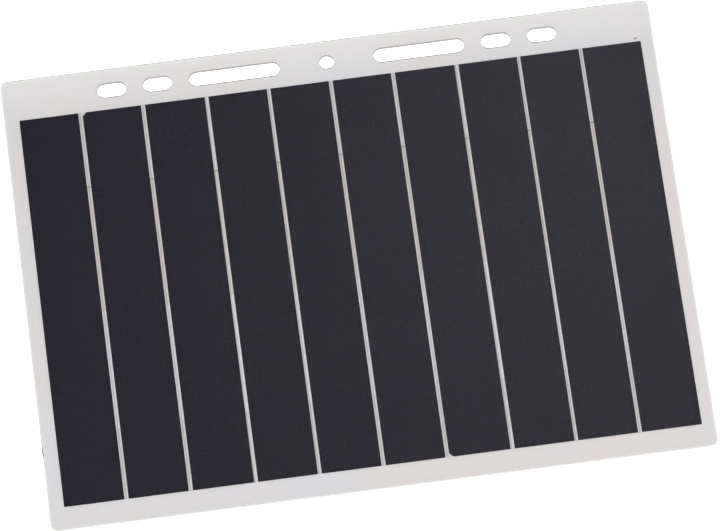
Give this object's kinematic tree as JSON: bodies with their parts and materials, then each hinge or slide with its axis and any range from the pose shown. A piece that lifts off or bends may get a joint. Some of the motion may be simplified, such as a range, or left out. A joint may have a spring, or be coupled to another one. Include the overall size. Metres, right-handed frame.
{
  "type": "flexible solar sheet",
  "caption": "Flat flexible solar sheet: dark cell strips in a white laminate with a row of strap slots and a hang hole along one edge, and a flat output box behind.",
  "frame": {"origin": "on the surface the sheet lies on, under the middle of its outline", "axes": "+X along the long edge, +Y towards the row of strap slots, +Z out of the cell face"},
  "size_m": [0.2492, 0.1846, 0.0147],
  "materials": {
    "front_film": "clear matt-embossed fluoropolymer or polyester film",
    "encapsulant": "clear cured encapsulant",
    "back_sheet": "white polyester board, satin",
    "ribbon_foil": "tinned copper foil, dull silver",
    "cell_silicon": "textured silicon with a dark anti-reflection coat",
    "foam_tape": "closed-cell acrylic foam tape",
    "box_plastic": "fine-textured black moulding",
    "screw_steel": "zinc-plated steel",
    "board_laminate": "green solder mask on glass-epoxy",
    "socket_metal": "nickel-plated folded sheet",
    "socket_plastic": "white moulded insert",
    "contact_plating": "gold-flashed contacts",
    "ferrite": "moulded ferrite",
    "chip_resin": "black epoxy moulding compound",
    "capacitor_can": "plain aluminium can",
    "lamp_lens": "diffused epoxy lens"
  },
  "bodies": {
    "panel_middle": {"front_film_middle": "front_film", "encapsulant_middle": "encapsulant", "back_sheet_middle": "back_sheet", "ribbons_middle": "ribbon_foil", "cell_05": "cell_silicon", "cell_06": "cell_silicon", "box_pad": "foam_tape", "box_base": "box_plastic", "box_cover": "box_plastic", "box_screws": "screw_steel", "circuit_board": "board_laminate", "socket_shell": "socket_metal", "socket_tongue": "socket_plastic", "socket_contacts": "contact_plating", "power_inductor": "ferrite", "regulator_chip": "chip_resin", "capacitors": "capacitor_can", "blocking_diode": "chip_resin", "status_lamp": "lamp_lens", "output_leads": "ribbon_foil"},
    "strip_04": {"front_film_04": "front_film", "encapsulant_04": "encapsulant", "back_sheet_04": "back_sheet", "ribbons_04": "ribbon_foil", "cell_04": "cell_silicon"},
    "strip_03": {"front_film_03": "front_film", "encapsulant_03": "encapsulant", "back_sheet_03": "back_sheet", "ribbons_03": "ribbon_foil", "cell_03": "cell_silicon"},
    "strip_02": {"front_film_02": "front_film", "encapsulant_02": "encapsulant", "back_sheet_02": "back_sheet", "ribbons_02": "ribbon_foil", "cell_02": "cell_silicon"},
    "strip_01": {"front_film_01": "front_film", "encapsulant_01": "encapsulant", "back_sheet_01": "back_sheet", "ribbons_01": "ribbon_foil", "cell_01": "cell_silicon"},
    "strip_07": {"front_film_07": "front_film", "encapsulant_07": "encapsulant", "back_sheet_07": "back_sheet", "ribbons_07": "ribbon_foil", "cell_07": "cell_silicon"},
    "strip_08": {"front_film_08": "front_film", "encapsulant_08": "encapsulant", "back_sheet_08": "back_sheet", "ribbons_08": "ribbon_foil", "cell_08": "cell_silicon"},
    "strip_09": {"front_film_09": "front_film", "encapsulant_09": "encapsulant", "back_sheet_09": "back_sheet", "ribbons_09": "ribbon_foil", "cell_09": "cell_silicon"},
    "strip_10": {"front_film_10": "front_film", "encapsulant_10": "encapsulant", "back_sheet_10": "back_sheet", "ribbons_10": "ribbon_foil", "cell_10": "cell_silicon"}
  },
  "joints": [
    {"name": "bend_04", "type": "hinge", "parent": "panel_middle", "child": "strip_04", "pos_m": [-0.0236, 0, 0.01385], "axis": [0, 1, 0], "range_deg": [-3.75, 3.75], "stiffness_Nm_per_rad": 3},
    {"name": "bend_03", "type": "hinge", "parent": "strip_04", "child": "strip_03", "pos_m": [-0.0476, 0, 0.01385], "axis": [0, 1, 0], "range_deg": [-3.75, 3.75], "stiffness_Nm_per_rad": 3},
    {"name": "bend_02", "type": "hinge", "parent": "strip_03", "child": "strip_02", "pos_m": [-0.0716, 0, 0.01385], "axis": [0, 1, 0], "range_deg": [-3.75, 3.75], "stiffness_Nm_per_rad": 3},
    {"name": "bend_01", "type": "hinge", "parent": "strip_02", "child": "strip_01", "pos_m": [-0.0956, 0, 0.01385], "axis": [0, 1, 0], "range_deg": [-3.75, 3.75], "stiffness_Nm_per_rad": 3},
    {"name": "bend_07", "type": "hinge", "parent": "panel_middle", "child": "strip_07", "pos_m": [0.0244, 0, 0.01385], "axis": [0, -1, 0], "range_deg": [-3.75, 3.75], "stiffness_Nm_per_rad": 3},
    {"name": "bend_08", "type": "hinge", "parent": "strip_07", "child": "strip_08", "pos_m": [0.0484, 0, 0.01385], "axis": [0, -1, 0], "range_deg": [-3.75, 3.75], "stiffness_Nm_per_rad": 3},
    {"name": "bend_09", "type": "hinge", "parent": "strip_08", "child": "strip_09", "pos_m": [0.0724, 0, 0.01385], "axis": [0, -1, 0], "range_deg": [-3.75, 3.75], "stiffness_Nm_per_rad": 3},
    {"name": "bend_10", "type": "hinge", "parent": "strip_09", "child": "strip_10", "pos_m": [0.0964, 0, 0.01385], "axis": [0, -1, 0], "range_deg": [-3.75, 3.75], "stiffness_Nm_per_rad": 3}
  ],
  "couplings": [
    {"joint": "bend_03", "follows": "bend_04", "ratio": 1},
    {"joint": "bend_02", "follows": "bend_04", "ratio": 1},
    {"joint": "bend_01", "follows": "bend_04", "ratio": 1},
    {"joint": "bend_07", "follows": "bend_04", "ratio": 1},
    {"joint": "bend_08", "follows": "bend_04", "ratio": 1},
    {"joint": "bend_09", "follows": "bend_04", "ratio": 1},
    {"joint": "bend_10", "follows": "bend_04", "ratio": 1}
  ]
}
